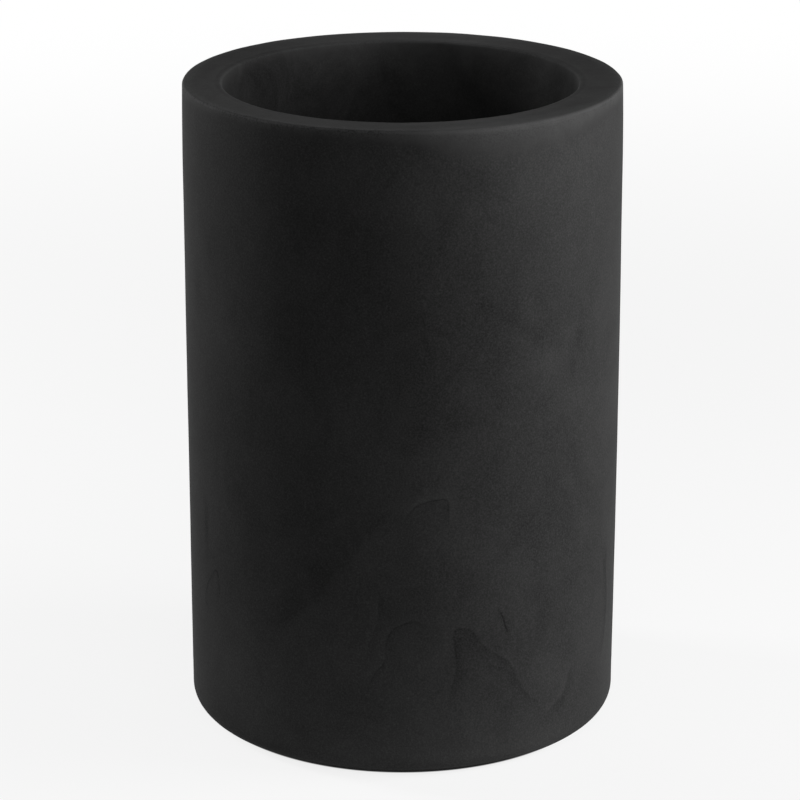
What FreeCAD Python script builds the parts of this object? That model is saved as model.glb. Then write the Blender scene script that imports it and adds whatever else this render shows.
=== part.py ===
import FreeCAD, Part
import os
import Sketcher

# Tall round planter: a fibreglass outer shell and a fibreglass liner with a wide flat brim, bonded
# together at the rim and the base, with a drain through the floor and rubber pads under the foot.
# Millimetres, +Z up, origin on the ground at the planter's centre.

SIZES = {
    # the moulded planter, foot to rim, without its pads
    "shell_diameter": 508,
    "shell_height": 762,
    # outer shell
    "shell_wall": 4,
    "foot_round": 20,
    # strips of the turned-in foot ring, from the foot round inwards: room for the pads, then the base
    "pad_strip": 28,
    "base_lap": 28,
    # liner: brim, well and planting floor
    "rim_width": 49,
    "brim_thickness": 5,
    "rim_edge_round": 4,
    "lip_round": 3,
    "under_brim_round": 6,
    "liner_wall": 3.5,
    "well_corner_round": 20,
    "sump_mouth_diameter": 104,
    "sump_floor_diameter": 92,
    "sump_depth": 6,
    # plywood cores, and the bonding gap left round what drops in
    "rim_core_depth": 18,
    "floor_core_depth": 18,
    "floor_core_margin": 5,
    "bond_gap": 0.3,
    # dished base panel
    "base_wall": 4,
    "base_recess": 18,
    "base_riser_run": 6,
    "base_corner_round": 3,
    # drain fitting
    "drain_bore": 25.4,
    "drain_tube_diameter": 38,
    "drain_hole_gap": 0.5,
    "drain_flange_diameter": 76,
    "drain_flange_depth": 3,
    "drain_edge_chamfer": 1,
    "drain_tail": 3,
    "gasket_depth": 1.5,
    "washer_diameter": 62,
    "washer_depth": 2,
    "nut_across_corners": 60,
    "nut_depth": 10,
    "nut_chamfer": 3,
    "nut_gap": 0.15,
    # strainer disc
    "screen_pocket_diameter": 29.2,
    "screen_pocket_depth": 3,
    "screen_depth": 1.2,
    "screen_gap": 0.2,
    "screen_hole": 3.2,
    "screen_inner_ring": 11,
    "screen_inner_count": 6,
    "screen_outer_ring": 21.4,
    "screen_outer_count": 12,
    # rubber plug
    "seat_mouth_diameter": 33,
    "seat_depth": 24,
    "plug_gap": 0.2,
    "plug_end_gap": 2,
    "plug_head_diameter": 44,
    "plug_head_depth": 3.5,
    "plug_head_round": 1.2,
    "lug_width": 20,
    "lug_height": 16,
    "lug_thickness": 7,
    "lug_hole": 8,
    "lug_edge_round": 1.5,
    # rubber pads
    "pad_count": 4,
    "pad_diameter": 26,
    "pad_height": 2.5,
    "pad_edge_round": 1,
    "pad_stem_diameter": 8,
    "pad_stem_gap": 0.2,
    "pad_barb_diameter": 12,
    "pad_barb_depth": 5,
    "pad_barb_tip": 5,
}

doc = FreeCAD.newDocument("tall_planter")
sheet = doc.addObject("Spreadsheet::Sheet", "Sizes")
for row, (alias, number) in enumerate(SIZES.items(), start=1):
    sheet.set(f"A{row}", alias.replace("_", " "))
    sheet.set(f"B{row}", str(number))
    sheet.setAlias(f"B{row}", alias)
doc.recompute()

# Radii and heights that several pieces share, worked out from the sheet's cells.
shell_radius = "Sizes.shell_diameter / 2"
shell_inside = f"({shell_radius} - Sizes.shell_wall)"
well_radius = f"({shell_radius} - Sizes.rim_width)"
liner_outside = f"({well_radius} + Sizes.liner_wall)"
pad_radius = f"({shell_radius} - Sizes.foot_round - Sizes.pad_strip / 2)"
base_radius = f"({shell_radius} - Sizes.foot_round - Sizes.pad_strip)"
foot_ring_inside = f"({base_radius} - Sizes.base_lap)"
riser_top = f"({foot_ring_inside} - Sizes.base_riser_run)"
floor_core_radius = f"({riser_top} - Sizes.floor_core_margin)"
tube_radius = "Sizes.drain_tube_diameter / 2"
drain_hole_radius = f"({tube_radius} + Sizes.drain_hole_gap)"
sump_mouth = "Sizes.sump_mouth_diameter / 2"
sump_floor = "Sizes.sump_floor_diameter / 2"

foot_ring_top = "(Sizes.pad_height + Sizes.shell_wall)"
base_underside = f"({foot_ring_top} + Sizes.base_recess)"
floor_core_bottom = f"({base_underside} + Sizes.base_wall)"
floor_core_top = f"({floor_core_bottom} + Sizes.floor_core_depth)"
planting_floor = f"({floor_core_top} + Sizes.liner_wall)"
rim_top = "(Sizes.pad_height + Sizes.shell_height)"
brim_underside = f"({rim_top} - Sizes.brim_thickness)"
sump_level = f"({planting_floor} - Sizes.sump_depth)"
drain_flange_underside = f"({sump_level} + Sizes.gasket_depth)"
drain_flange_top = f"({drain_flange_underside} + Sizes.drain_flange_depth)"
washer_bottom = f"({base_underside} - Sizes.washer_depth)"
nut_bottom = f"({washer_bottom} - Sizes.nut_depth)"
drain_end = f"({nut_bottom} - Sizes.drain_tail)"

MATCH = 1e-4  # how closely an edge's radius and height must match the ones asked for


def value(expression):
    """The number that an expression on the sheet's cells gives."""
    return float(sheet.evalExpression(str(expression)))


def new_body(label, height="0", angle=None, radius="0"):
    """An empty body at a height, and for a repeated piece at an angle on a circle."""
    body = doc.addObject("PartDesign::Body", label)
    body.Label = label
    body.setExpression("Placement.Base.z", height)
    if angle is not None:
        body.setExpression("Placement.Base.x", f"{radius} * cos({angle})")
        body.setExpression("Placement.Base.y", f"{radius} * sin({angle})")
    return body


def origin_item(body, role):
    return next(item for item in body.Origin.OriginFeatures if item.Role == role)


def new_sketch(body, name, plane):
    sketch = body.newObject("Sketcher::SketchObject", name)
    sketch.AttachmentSupport = (origin_item(body, plane), [""])
    sketch.MapMode = "FlatFace"
    return sketch


def pin_point(sketch, geometry, point, across, up):
    """Holds a point of the sketch at its distances from the two axes."""
    for kind, axis, expression in (("DistanceX", -2, across), ("DistanceY", -1, up)):
        number = value(expression)
        if number == 0:
            sketch.addConstraint(Sketcher.Constraint("PointOnObject", geometry, point, axis))
        else:
            held = Sketcher.Constraint(kind, -1, 1, geometry, point, number)
            sketch.setExpression(f"Constraints[{sketch.addConstraint(held)}]", expression)


def closed_outline(sketch, corners):
    """Straight lines round the corners, each corner a pair of expressions."""
    points = [FreeCAD.Vector(value(across), value(up), 0) for across, up in corners]
    count = len(points)
    for i in range(count):
        sketch.addGeometry(Part.LineSegment(points[i], points[(i + 1) % count]), False)
    for i in range(count):
        sketch.addConstraint(Sketcher.Constraint("Coincident", i, 2, (i + 1) % count, 1))
    for i, (across, up) in enumerate(corners):
        pin_point(sketch, i, 1, across, up)


def circle(sketch, across, up, diameter):
    centre = FreeCAD.Vector(value(across), value(up), 0)
    radius = value(diameter) / 2
    index = sketch.addGeometry(Part.Circle(centre, FreeCAD.Vector(0, 0, 1), radius), False)
    pin_point(sketch, index, 3, across, up)
    held = sketch.addConstraint(Sketcher.Constraint("Diameter", index, 2 * radius))
    sketch.setExpression(f"Constraints[{held}]", diameter)


def turned(body, corners):
    """A solid of revolution about the body's upright axis, from a half section of (radius, height)."""
    sketch = new_sketch(body, f"{body.Label}_section", "XZ_Plane")
    closed_outline(sketch, corners)
    turn = body.newObject("PartDesign::Revolution", f"{body.Label}_turned")
    turn.Profile = sketch
    turn.ReferenceAxis = (sketch, ["V_Axis"])
    turn.Angle = 360
    doc.recompute()
    return turn


def ring_edges(shape, rings):
    """Names of the shape's circular edges that have these (radius, height) pairs."""
    names = []
    for radius, height in rings:
        found = [
            f"Edge{i}"
            for i, edge in enumerate(shape.Edges, start=1)
            if isinstance(edge.Curve, Part.Circle)
            and abs(edge.Curve.Radius - value(radius)) < MATCH
            and abs(edge.Curve.Center.z - value(height)) < MATCH
        ]
        if not found:
            raise ValueError(f"no edge of radius {value(radius)} at height {value(height)}")
        names += found
    return names


def dress(body, kind, size_property, size, rings):
    """A fillet or chamfer on the body's round edges at these (radius, height) pairs."""
    base = body.Tip
    feature = body.newObject(f"PartDesign::{kind}", f"{body.Label}_{kind.lower()}")
    feature.Base = (base, ring_edges(base.Shape, rings))
    feature.setExpression(size_property, size)
    doc.recompute()
    return feature


def fillet(body, radius, *rings):
    return dress(body, "Fillet", "Radius", radius, rings)


def chamfer(body, size, *rings):
    return dress(body, "Chamfer", "Size", size, rings)


def cut_through(body, sketch):
    """Cuts the sketch right through the body, both ways from its plane."""
    before = body.Tip.Shape.Volume
    pocket = body.newObject("PartDesign::Pocket", f"{sketch.Label}_cut")
    pocket.Profile = sketch
    pocket.Type = "ThroughAll"
    pocket.Midplane = True
    doc.recompute()
    if pocket.Shape.Volume >= before:
        raise ValueError(f"{sketch.Label} cuts nothing")
    return pocket


def repeat_round(body, feature, count):
    """Repeats a feature evenly round the body's upright axis."""
    pattern = body.newObject("PartDesign::PolarPattern", f"{feature.Label}_round")
    pattern.Originals = [feature]
    pattern.Axis = (origin_item(body, "Z_Axis"), [""])
    pattern.Angle = 360
    pattern.setExpression("Occurrences", count)
    body.Tip = pattern
    doc.recompute()
    return pattern


def make_outer_shell():
    """Straight round wall, rounded foot and the flat ring turned in under it. Stands on the pads."""
    body = new_body("outer_shell", "Sizes.pad_height")
    wall_top = f"({brim_underside} - Sizes.pad_height)"
    turned(body, [
        (foot_ring_inside, "0"),
        (shell_radius, "0"),
        (shell_radius, wall_top),
        (shell_inside, wall_top),
        (shell_inside, "Sizes.shell_wall"),
        (foot_ring_inside, "Sizes.shell_wall"),
    ])
    fillet(body, "Sizes.foot_round", (shell_radius, "0"))
    fillet(body, "Sizes.foot_round - Sizes.shell_wall", (shell_inside, "Sizes.shell_wall"))
    stem_holes = new_sketch(body, "stem_hole", "XY_Plane")
    circle(stem_holes, pad_radius, "0", "Sizes.pad_stem_diameter + 2 * Sizes.pad_stem_gap")
    repeat_round(body, cut_through(body, stem_holes), "Sizes.pad_count")
    return body


def make_liner_shell():
    """Brim, well wall, planting floor and sump in one moulding. Its height 0 is the planting floor."""
    body = new_body("liner_shell", planting_floor)
    brim_top = f"({rim_top} - {planting_floor})"
    brim_under = f"({brim_underside} - {planting_floor})"
    turned(body, [
        (drain_hole_radius, "-Sizes.sump_depth"),
        (sump_floor, "-Sizes.sump_depth"),
        (sump_mouth, "0"),
        (well_radius, "0"),
        (well_radius, brim_top),
        (shell_radius, brim_top),
        (shell_radius, brim_under),
        (liner_outside, brim_under),
        (liner_outside, "-Sizes.liner_wall"),
        (f"{sump_mouth} + Sizes.liner_wall", "-Sizes.liner_wall"),
        (f"{sump_floor} + Sizes.liner_wall", "-Sizes.sump_depth - Sizes.liner_wall"),
        (drain_hole_radius, "-Sizes.sump_depth - Sizes.liner_wall"),
    ])
    fillet(body, "Sizes.well_corner_round", (well_radius, "0"))
    fillet(body, "Sizes.well_corner_round + Sizes.liner_wall", (liner_outside, "-Sizes.liner_wall"))
    fillet(body, "Sizes.rim_edge_round", (shell_radius, brim_top))
    fillet(body, "Sizes.lip_round", (well_radius, brim_top))
    fillet(body, "Sizes.under_brim_round", (liner_outside, brim_under))
    return body


def make_base_panel():
    """Dished panel bonded on the foot ring, with the drain fitting's nut in its recess."""
    body = new_body("base_panel", foot_ring_top)
    panel_top = "Sizes.base_recess + Sizes.base_wall"
    turned(body, [
        (foot_ring_inside, "0"),
        (base_radius, "0"),
        (base_radius, "Sizes.base_wall"),
        (f"{foot_ring_inside} + Sizes.base_wall", "Sizes.base_wall"),
        (f"{riser_top} + Sizes.base_wall", panel_top),
        (drain_hole_radius, panel_top),
        (drain_hole_radius, "Sizes.base_recess"),
        (riser_top, "Sizes.base_recess"),
    ])
    fillet(
        body,
        "Sizes.base_corner_round",
        (f"{riser_top} + Sizes.base_wall", panel_top),
        (f"{foot_ring_inside} + Sizes.base_wall", "Sizes.base_wall"),
    )
    return body


def make_rim_core():
    """Plywood ring that fills the corner under the brim and ties the two shells together."""
    body = new_body("rim_core", f"{brim_underside} - Sizes.rim_core_depth")
    inside = f"({liner_outside} + Sizes.bond_gap)"
    outside = f"({shell_inside} - Sizes.bond_gap)"
    turned(body, [
        (inside, "0"),
        (outside, "0"),
        (outside, "Sizes.rim_core_depth"),
        (inside, "Sizes.rim_core_depth"),
    ])
    chamfer(body, "Sizes.under_brim_round", (inside, "Sizes.rim_core_depth"))
    return body


def make_floor_core():
    """Plywood disc that carries the planting floor on the base panel, recessed for the sump."""
    body = new_body("floor_core", floor_core_bottom)
    recess_level = "Sizes.floor_core_depth - Sizes.sump_depth"
    turned(body, [
        (drain_hole_radius, "0"),
        (floor_core_radius, "0"),
        (floor_core_radius, "Sizes.floor_core_depth"),
        (f"{sump_mouth} + Sizes.liner_wall + Sizes.bond_gap", "Sizes.floor_core_depth"),
        (f"{sump_floor} + Sizes.liner_wall + Sizes.bond_gap", recess_level),
        (drain_hole_radius, recess_level),
    ])
    return body


def make_drain_body():
    """Flanged outlet: tapered seat, strainer pocket and bore. Its height 0 is under the flange."""
    body = new_body("drain_body", drain_flange_underside)
    mouth = "Sizes.seat_mouth_diameter / 2"
    pocket = "Sizes.screen_pocket_diameter / 2"
    bore = "Sizes.drain_bore / 2"
    flange = "Sizes.drain_flange_diameter / 2"
    seat_end = "Sizes.drain_flange_depth - Sizes.seat_depth"
    shoulder = f"{seat_end} - Sizes.screen_pocket_depth"
    end = f"{drain_end} - {drain_flange_underside}"
    turned(body, [
        (mouth, "Sizes.drain_flange_depth"),
        (flange, "Sizes.drain_flange_depth"),
        (flange, "0"),
        (tube_radius, "0"),
        (tube_radius, end),
        (bore, end),
        (bore, shoulder),
        (pocket, shoulder),
        (pocket, seat_end),
    ])
    chamfer(
        body,
        "Sizes.drain_edge_chamfer",
        (flange, "Sizes.drain_flange_depth"),
        (tube_radius, end),
    )
    return body


def make_flat_ring(label, height, diameter, depth):
    """A flat washer that the drain fitting's tube passes through."""
    body = new_body(label, height)
    turned(body, [
        (drain_hole_radius, "0"),
        (f"{diameter} / 2", "0"),
        (f"{diameter} / 2", depth),
        (drain_hole_radius, depth),
    ])
    return body


def make_drain_nut():
    """Hexagonal back nut under the base, its lower corners turned off."""
    body = new_body("drain_nut", nut_bottom)
    hexagon = body.newObject("PartDesign::AdditivePrism", "nut_hexagon")
    hexagon.Polygon = 6
    hexagon.setExpression("Circumradius", "Sizes.nut_across_corners / 2")
    hexagon.setExpression("Height", "Sizes.nut_depth")
    doc.recompute()
    bore = new_sketch(body, "nut_bore", "XY_Plane")
    circle(bore, "0", "0", "Sizes.drain_tube_diameter + 2 * Sizes.nut_gap")
    cut_through(body, bore)
    corners = new_sketch(body, "nut_corners", "XZ_Plane")
    closed_outline(corners, [
        ("Sizes.nut_across_corners / 2 - Sizes.nut_chamfer", "0"),
        ("Sizes.nut_across_corners / 2 + Sizes.nut_chamfer", "0"),
        ("Sizes.nut_across_corners / 2 + Sizes.nut_chamfer", "Sizes.nut_chamfer"),
    ])
    before = body.Tip.Shape.Volume
    groove = body.newObject("PartDesign::Groove", "nut_corners_cut")
    groove.Profile = corners
    groove.ReferenceAxis = (corners, ["V_Axis"])
    groove.Angle = 360
    doc.recompute()
    if groove.Shape.Volume >= before:
        raise ValueError("the nut's corners are not cut")
    return body


def make_drain_screen():
    """Pierced disc on the shoulder of the drain fitting, under the plug."""
    body = new_body("drain_screen", f"{drain_flange_top} - Sizes.seat_depth - Sizes.screen_pocket_depth")
    edge = "Sizes.screen_pocket_diameter / 2 - Sizes.screen_gap"
    turned(body, [
        ("0", "0"),
        (edge, "0"),
        (edge, "Sizes.screen_depth"),
        ("0", "Sizes.screen_depth"),
    ])
    middle = new_sketch(body, "screen_middle_hole", "XY_Plane")
    circle(middle, "0", "0", "Sizes.screen_hole")
    cut_through(body, middle)
    for ring in ("inner", "outer"):
        holes = new_sketch(body, f"screen_{ring}_hole", "XY_Plane")
        circle(holes, f"Sizes.screen_{ring}_ring / 2", "0", "Sizes.screen_hole")
        repeat_round(body, cut_through(body, holes), f"Sizes.screen_{ring}_count")
    return body


def make_drain_plug():
    """Tapered rubber plug with a pull lug. Its height 0 is under the head, on the fitting's flange."""
    body = new_body("drain_plug", drain_flange_top)
    head = "Sizes.plug_head_diameter / 2"
    mouth = "Sizes.seat_mouth_diameter / 2"
    narrowing = f"({mouth} - Sizes.screen_pocket_diameter / 2)"
    reach = "(Sizes.seat_depth - Sizes.plug_end_gap)"
    end = f"{mouth} - {narrowing} * {reach} / Sizes.seat_depth - Sizes.plug_gap"
    turned(body, [
        ("0", f"-{reach}"),
        (end, f"-{reach}"),
        (f"{mouth} - Sizes.plug_gap", "0"),
        (head, "0"),
        (head, "Sizes.plug_head_depth"),
        ("0", "Sizes.plug_head_depth"),
    ])
    fillet(body, "Sizes.plug_head_round", (head, "Sizes.plug_head_depth"), (end, f"-{reach}"))
    add_pull_lug(body)
    return body


def add_pull_lug(body):
    """Upright lug with a half-round top and a hole, on the plug's head."""
    half = "Sizes.lug_width / 2"
    root = "Sizes.plug_head_depth / 2"
    shoulder = "Sizes.plug_head_depth + Sizes.lug_height - Sizes.lug_width / 2"
    sketch = new_sketch(body, "lug_outline", "XZ_Plane")
    left, right = value(f"-{half}"), value(half)
    low, high = value(root), value(shoulder)
    corners = [(right, high), (right, low), (left, low), (left, high)]
    for (x1, z1), (x2, z2) in zip(corners, corners[1:]):
        line = Part.LineSegment(FreeCAD.Vector(x1, z1, 0), FreeCAD.Vector(x2, z2, 0))
        sketch.addGeometry(line, False)
    top = FreeCAD.Vector(0, high + right, 0)
    sketch.addGeometry(
        Part.Arc(FreeCAD.Vector(left, high, 0), top, FreeCAD.Vector(right, high, 0)), False
    )
    for first, second in (((0, 2), (1, 1)), ((1, 2), (2, 1))):
        sketch.addConstraint(Sketcher.Constraint("Coincident", *first, *second))
    # Part.Arc runs anticlockwise in the sketch, so its start is at the right
    sketch.addConstraint(Sketcher.Constraint("Tangent", 0, 1, 3, 1))
    sketch.addConstraint(Sketcher.Constraint("Tangent", 2, 2, 3, 2))
    pin_point(sketch, 3, 3, "0", shoulder)
    pin_point(sketch, 0, 2, half, root)
    sketch.addConstraint(Sketcher.Constraint("Horizontal", 1))
    sketch.addConstraint(Sketcher.Constraint("Vertical", 0))
    sketch.addConstraint(Sketcher.Constraint("Vertical", 2))
    pad = body.newObject("PartDesign::Pad", "lug")
    pad.Profile = sketch
    pad.Midplane = True
    pad.setExpression("Length", "Sizes.lug_thickness")
    doc.recompute()
    rounds = body.newObject("PartDesign::Fillet", "lug_rounds")
    rounds.Base = (pad, lug_face_edges(pad.Shape))
    rounds.setExpression("Radius", "Sizes.lug_edge_round")
    doc.recompute()
    hole = new_sketch(body, "lug_hole", "XZ_Plane")
    circle(hole, "0", shoulder, "Sizes.lug_hole")
    cut_through(body, hole)


def lug_face_edges(shape):
    """Names of the edges round the lug's two flat faces, above the plug's head."""
    names = []
    for i, edge in enumerate(shape.Edges, start=1):
        box = edge.BoundBox
        on_face = abs(abs(box.Center.y) - value("Sizes.lug_thickness / 2")) < MATCH and box.YLength < MATCH
        if on_face and box.ZMax > value("Sizes.plug_head_depth") + MATCH:
            names.append(f"Edge{i}")
    return names


def make_foot_pad(number):
    """Rubber pad with a barbed stem pushed through the foot ring."""
    body = new_body(
        f"foot_pad_{number}",
        angle=f"360deg * {number - 1} / Sizes.pad_count",
        radius=pad_radius,
    )
    stem_top = "(Sizes.pad_height + Sizes.shell_wall)"
    tip = f"{stem_top} + Sizes.pad_barb_depth"
    pad_edge = "Sizes.pad_diameter / 2"
    stem = "Sizes.pad_stem_diameter / 2"
    turned(body, [
        ("0", "0"),
        (pad_edge, "0"),
        (pad_edge, "Sizes.pad_height"),
        (stem, "Sizes.pad_height"),
        (stem, stem_top),
        ("Sizes.pad_barb_diameter / 2", stem_top),
        ("Sizes.pad_barb_tip / 2", tip),
        ("0", tip),
    ])
    fillet(body, "Sizes.pad_edge_round", (pad_edge, "0"))
    return body


def check(bodies):
    """Stops unless every object was worked out and every piece is one valid solid."""
    for item in doc.Objects:
        if "Invalid" in item.State or "Error" in item.State:
            raise ValueError(f"{item.Label} was not worked out: {item.State}")
    for body in bodies:
        shape = body.Shape
        if shape.isNull() or not shape.isValid() or len(shape.Solids) != 1:
            raise ValueError(f"{body.Label} is not one valid solid")


bodies = [
    make_outer_shell(),
    make_liner_shell(),
    make_base_panel(),
    make_rim_core(),
    make_floor_core(),
    make_drain_body(),
    make_flat_ring("drain_gasket", sump_level, "Sizes.drain_flange_diameter", "Sizes.gasket_depth"),
    make_flat_ring("drain_washer", washer_bottom, "Sizes.washer_diameter", "Sizes.washer_depth"),
    make_drain_nut(),
    make_drain_screen(),
    make_drain_plug(),
]
for number in range(1, int(value("Sizes.pad_count")) + 1):
    bodies.append(make_foot_pad(number))

doc.recompute()
check(bodies)

os.makedirs("parts", exist_ok=True)
for body in bodies:
    body.Shape.exportStep(f"parts/{body.Label}.step")
    box = body.Shape.BoundBox
    print(f"{body.Label:14s} {body.Shape.Volume / 1000:9.1f} cm3   z {box.ZMin:7.2f} to {box.ZMax:7.2f}")
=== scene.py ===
from math import cos, pi, radians, sin

import bpy
import numpy as np
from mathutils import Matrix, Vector, noise


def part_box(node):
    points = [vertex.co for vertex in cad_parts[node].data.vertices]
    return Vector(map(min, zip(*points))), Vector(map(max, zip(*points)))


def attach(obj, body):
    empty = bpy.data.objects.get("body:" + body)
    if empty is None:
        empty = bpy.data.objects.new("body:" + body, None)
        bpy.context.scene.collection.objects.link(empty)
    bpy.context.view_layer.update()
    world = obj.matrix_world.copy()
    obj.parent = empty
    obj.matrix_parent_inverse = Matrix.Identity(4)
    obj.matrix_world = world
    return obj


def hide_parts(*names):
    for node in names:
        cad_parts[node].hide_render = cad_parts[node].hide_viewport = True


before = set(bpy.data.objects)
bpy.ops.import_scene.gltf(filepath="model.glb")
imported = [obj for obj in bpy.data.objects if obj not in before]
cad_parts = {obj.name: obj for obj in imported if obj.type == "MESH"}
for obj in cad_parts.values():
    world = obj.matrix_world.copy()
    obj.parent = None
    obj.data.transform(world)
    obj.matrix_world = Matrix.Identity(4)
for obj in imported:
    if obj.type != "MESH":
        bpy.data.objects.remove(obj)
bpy.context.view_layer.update()  # metres, +Z up, the planter stands on the ground round the origin
mm = 0.001
print("frame loaded:", len(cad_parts), "nodes")


def maths(operation):  # a Math node between two values, for the operators below
    def act(first, second):
        return first.nodes.node("Math", {"operation": operation}, {0: first, 1: second})
    return act


class Value:  # a shader socket that takes part in Python sums
    __add__ = __radd__ = maths("ADD")
    __mul__ = __rmul__ = maths("MULTIPLY")
    __sub__, __truediv__ = maths("SUBTRACT"), maths("DIVIDE")
    __pow__, __mod__ = maths("POWER"), maths("MODULO")
    atMost, atLeast = maths("MINIMUM"), maths("MAXIMUM")

    def __init__(self, nodes, socket):
        self.nodes, self.socket = nodes, socket

    def __neg__(self):
        return self * -1

    def __abs__(self):
        return self.nodes.node("Math", {"operation": "ABSOLUTE"}, {0: self})

    def step(self, low, high, fromValue=0.0, toValue=1.0):  # smooth step between low and high
        return self.nodes.node("MapRange", {"interpolation_type": "SMOOTHSTEP"}, {
            "Value": self, "From Min": low, "From Max": high, "To Min": fromValue, "To Max": toValue})

    def band(self, width):  # 1 at zero, falling to 0 at width on both sides
        return abs(self).step(0, width, 1, 0)


class Nodes:  # the node tree of one material or of the world
    def __init__(self, owner):
        owner.use_nodes = True
        self.owner, self.tree = owner, owner.node_tree
        self.tree.nodes.clear()

    def node(self, kind, settings, sockets, output=0):  # any node: settings first, then sockets
        made = self.tree.nodes.new("ShaderNode" + kind)
        for name, value in settings.items():
            setattr(made, name, value)
        for name, value in sockets.items():
            if isinstance(value, Value):
                self.tree.links.new(value.socket, made.inputs[name])
            else:
                made.inputs[name].default_value = value
        return Value(self, made.outputs[output]) if made.outputs else None

    def place(self, turn=(0, 0, 0), stretch=(1, 1, 1)):  # object coordinates, turned and scaled
        here = self.node("TexCoord", {}, {}, "Object")
        return self.node("Mapping", {}, {"Vector": here, "Rotation": turn, "Scale": stretch})

    def parts(self, vector):
        return [self.node("SeparateXYZ", {}, {0: vector}, axis) for axis in "XYZ"]

    def cloud(self, place, size, detail=3.0, rough=0.5, swirl=0.0):  # noise with features of that size
        return self.node("TexNoise", {}, {"Vector": place, "Scale": 1 / size, "Detail": detail,
                                          "Roughness": rough, "Distortion": swirl})

    def stored(self, name, kind="Fac"):  # a value that the piece carries at its points
        return self.node("Attribute", {"attribute_name": name}, {}, kind)

    def blend(self, first, second, share):  # one colour over another
        settings = {"data_type": "RGBA", "clamp_factor": False}
        return self.node("Mix", settings, {0: share, 6: first, 7: second}, 2)

    def relief(self, height, depth, strength=1.0):
        return self.node("Bump", {}, {"Height": height, "Distance": depth, "Strength": strength})

    def finish(self, **sockets):  # ends the tree in a Principled surface
        names = {key: "".join(" " + c if c.isupper() else c for c in key).strip() for key in sockets}
        values = {names[key].replace("I O R", "IOR"): value for key, value in sockets.items()}
        surface = self.node("BsdfPrincipled", {}, values)
        self.node("OutputMaterial", {}, {"Surface": surface})
        return self.owner


def newFinish(name):
    return Nodes(bpy.data.materials.new(name))


def grey(level, warmth=0.0):
    return (level * (1 + warmth), level, level * (1 - warmth), 1.0)


charcoal = {
    "dark": 0.008, "light": 0.066,  # the two greys
    "middle": 0.42, "palest": 2,  # where between them the finish lies, and how far past the light one it goes
    "drift": (190 * mm, 2, 0.5, 0.8),  # each noise: size, detail, roughness, swirl
    "clouds": (64 * mm, 4, 0.74, 0.7),
    "grain": (2.0 * mm, 1.5, 0.6),
    "wander": (17 * mm, 3, 0.55),
    "breaks": (26 * mm, 2, 0.5),
    "peel": (9 * mm, 2, 0.5),
    "driftShare": 0.30, "cloudTurn": -22, "cloudStretch": 0.8,
    "lineWidth": 2.1 * mm, "lineShare": 0.20, "lineWander": 4.5 * mm,
    "breakFrom": 0.36, "breakTo": 0.56, "faintest": 0.45,  # the lines come and go along their way
    "wearHighlightWidth": 14 * mm, "leastHighlightReach": 0.12, "wearHighlightWander": 0.7,
    "wearHighlightLine": (0.007, 0.45, 0.6), "wearHighlightHalo": (0.04, 2.1, 0.6),  # how ragged, how wide, how pale the worn and painted-highlight edge is
    "wearHighlightGrain": 2,  # how much more grain shows where the edge is worn and painted paler
    "shadeStripPlace": 5.5 * mm, "shadeStripWidth": 5 * mm, "shadeStripDepth": 12 * mm,  # painted shade, the darker strip beside a lip
    "footContactShade": 0.8, "contactShadeFull": 7 * mm, "contactShadeTop": 10 * mm,  # painted contact shadow, the dark line where the planter stands
    "roughness": 0.79, "cloudRoughness": 0.12, "grainRoughness": 0.10,
    "grainRelief": 0.5, "peelRelief": 0.35, "lineRelief": 0.3, "depth": 0.35 * mm, "strength": 0.55,
}


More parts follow.
